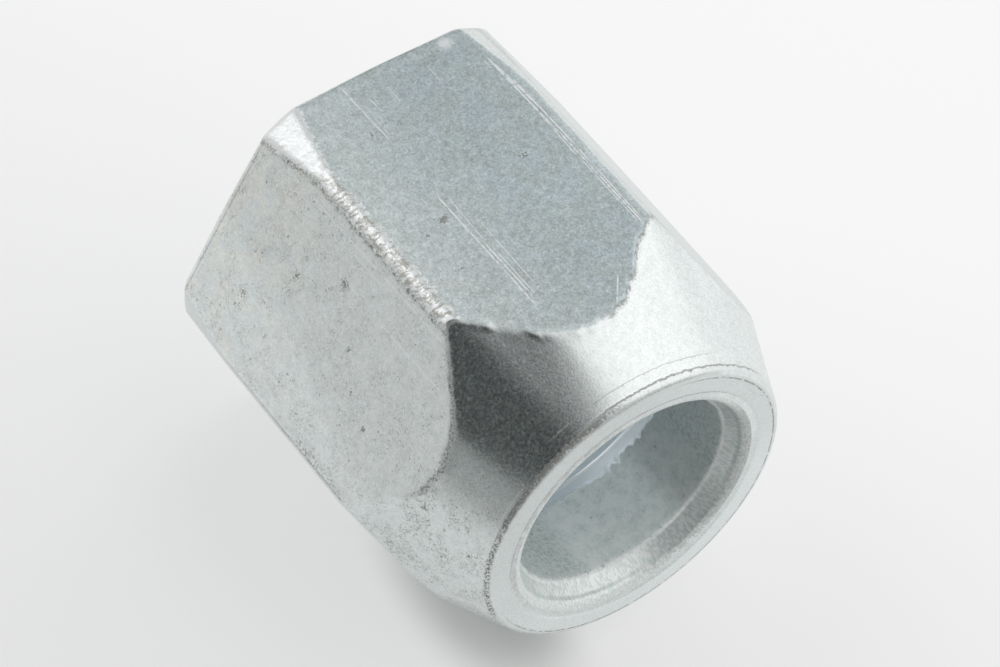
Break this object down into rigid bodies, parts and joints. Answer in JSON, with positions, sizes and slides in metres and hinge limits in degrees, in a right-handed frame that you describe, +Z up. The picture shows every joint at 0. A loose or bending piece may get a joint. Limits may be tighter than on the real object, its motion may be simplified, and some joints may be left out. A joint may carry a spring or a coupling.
{
  "type": "flare nut",
  "caption": "Zinc-plated steel flare nut: a hexagon with a coned nose, a stepped tube bore, a 45 degree flare seat and an internal thread.",
  "frame": {"origin": "bottom centre of the part's box, on the surface that it lies on", "axes": "+X along the bore towards the nose, +Z up, square to the flat that it lies on"},
  "size_m": [0.025, 0.0254, 0.0222],
  "materials": {
    "zinc_plated_steel": "clear zinc plate over cold-formed steel: satin flats with fine scratches and pits, brighter worn corners and cone, matt pierced bore"
  },
  "bodies": {
    "root": {"nut": "zinc_plated_steel"}
  },
  "joints": []
}
